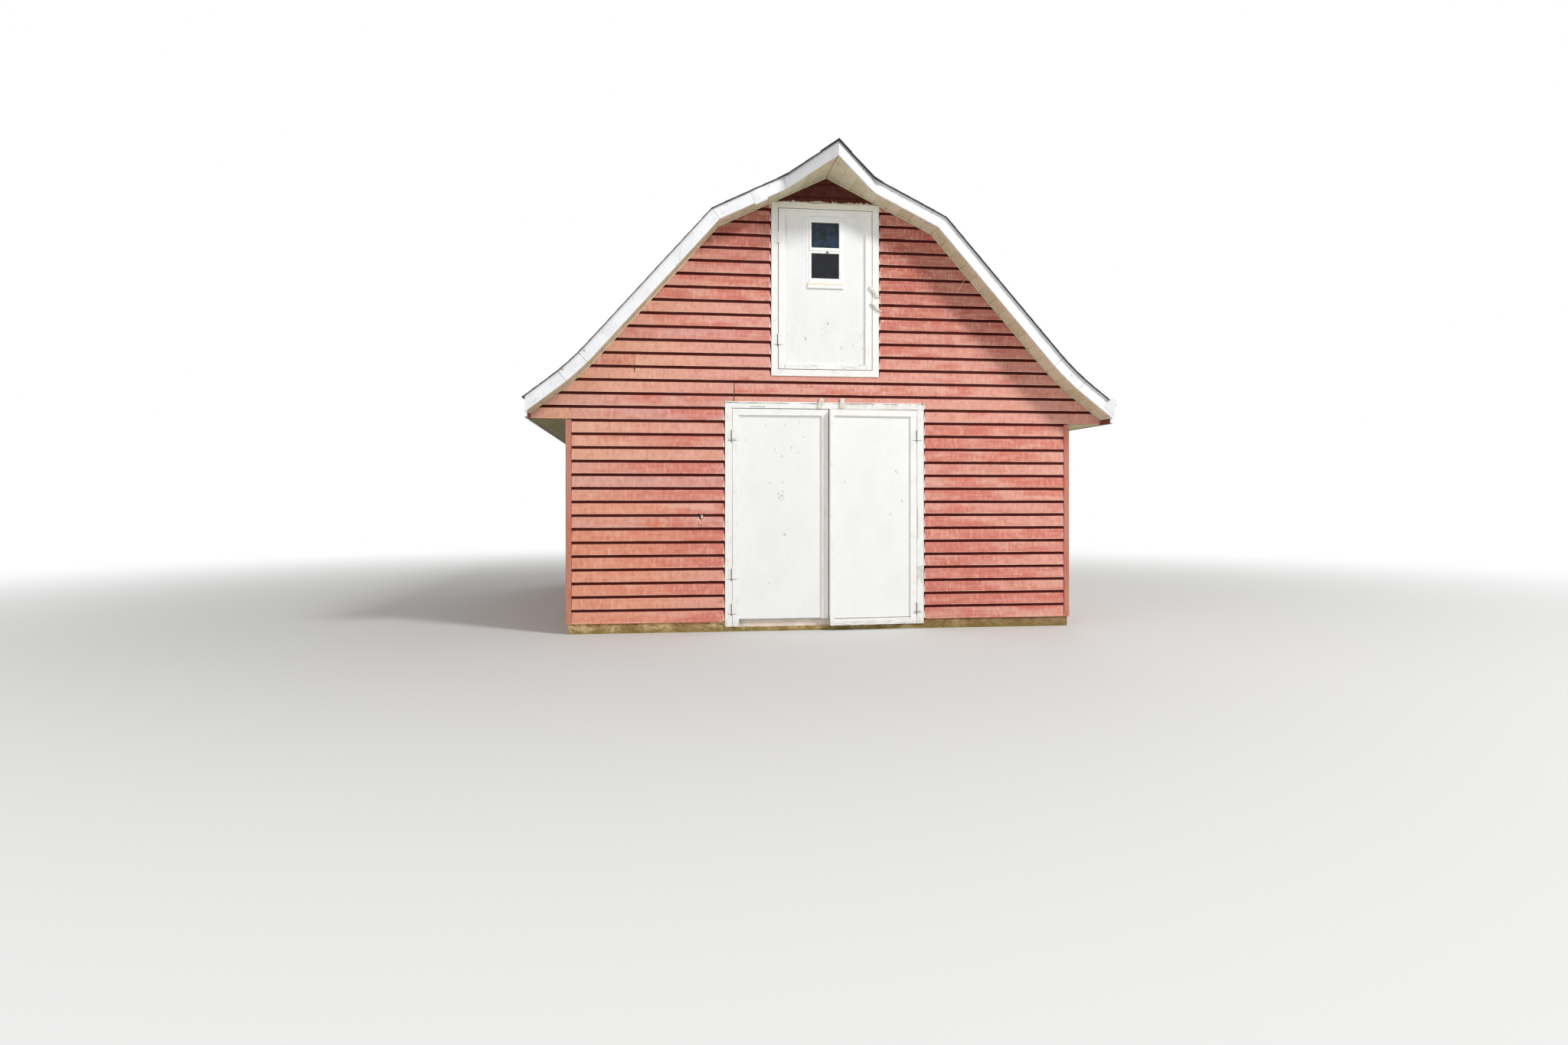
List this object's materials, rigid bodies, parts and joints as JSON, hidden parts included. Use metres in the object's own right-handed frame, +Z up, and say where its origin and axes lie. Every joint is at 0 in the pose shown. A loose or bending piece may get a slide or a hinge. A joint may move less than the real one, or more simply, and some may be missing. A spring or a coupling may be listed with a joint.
{
  "type": "small gambrel roof barn",
  "caption": "Small hollow timber barn with a gambrel roof, flared eaves, a peaked hay hood, a fixed loft door and outswinging double doors.",
  "frame": {"origin": "on the ground under the middle of the roof's outline", "axes": "+X to the right seen from the front, +Y from the front wall to the back wall, +Z up"},
  "size_m": [5.634, 7.0711, 4.4917],
  "materials": {
    "concrete": "weathered cast concrete",
    "frame_timber": "sawn softwood, unfinished",
    "red_siding": "faded barn red paint on lap boards",
    "red_corner": "faded barn red paint",
    "white_trim": "peeling white paint",
    "white_panel": "white paint on grooved sheet siding",
    "fascia_white": "white coated metal wrap on boards",
    "soffit_cream": "cream paint on narrow soffit boards",
    "shingle": "granular charcoal shingles",
    "weathered_wood": "bare weathered board",
    "hinge_metal": "paint over steel with rust marks",
    "button_wood": "worn paint over bare wood",
    "window_white": "white paint",
    "window_glass": "clear glass"
  },
  "bodies": {
    "barn": {"foundation": "concrete", "left_wall": "frame_timber", "right_wall": "frame_timber", "front_wall_left": "frame_timber", "front_wall_right": "frame_timber", "front_wall_band": "frame_timber", "front_gable_left": "frame_timber", "front_gable_right": "frame_timber", "front_gable_peak": "frame_timber", "back_wall": "frame_timber", "back_gable": "frame_timber", "siding_front": "red_siding", "siding_front_gable": "red_siding", "siding_sides": "red_siding", "siding_back": "red_siding", "corner_boards": "red_corner", "loft_joists": "frame_timber", "loft_floor": "frame_timber", "ridge_board": "frame_timber", "rafters_upper": "frame_timber", "rafters_lower": "frame_timber", "roof_deck_left": "frame_timber", "roof_deck_right": "frame_timber", "shingles_left": "shingle", "shingles_right": "shingle", "rake_fascia_front": "fascia_white", "rake_fascia_back": "fascia_white", "eave_fascias": "fascia_white", "rake_soffit_front": "soffit_cream", "rake_soffit_back": "soffit_cream", "eave_soffits": "soffit_cream", "soffit_strips": "soffit_cream", "door_casing": "white_trim", "door_threshold": "weathered_wood", "door_hinge_plates": "hinge_metal", "turn_buttons": "button_wood", "loft_casing": "white_trim", "loft_door_panel": "white_panel", "loft_door_frame": "white_trim", "loft_window": "window_white", "loft_glass": "window_glass", "loft_hinges": "hinge_metal"},
    "left_door": {"left_door_panel": "white_panel", "left_door_frame": "white_trim", "left_door_battens": "frame_timber", "left_door_hinges": "hinge_metal"},
    "right_door": {"right_door_panel": "white_panel", "right_door_frame": "white_trim", "right_door_battens": "frame_timber", "right_door_hinges": "hinge_metal"}
  },
  "joints": [
    {"name": "left_door_hinge", "type": "hinge", "parent": "barn", "child": "left_door", "pos_m": [-0.906, -2.8745, 1.1], "axis": [0, 0, -1], "range_deg": [0, 170]},
    {"name": "right_door_hinge", "type": "hinge", "parent": "barn", "child": "right_door", "pos_m": [0.9, -2.8745, 1.1], "axis": [0, 0, 1], "range_deg": [-4, 166]}
  ]
}
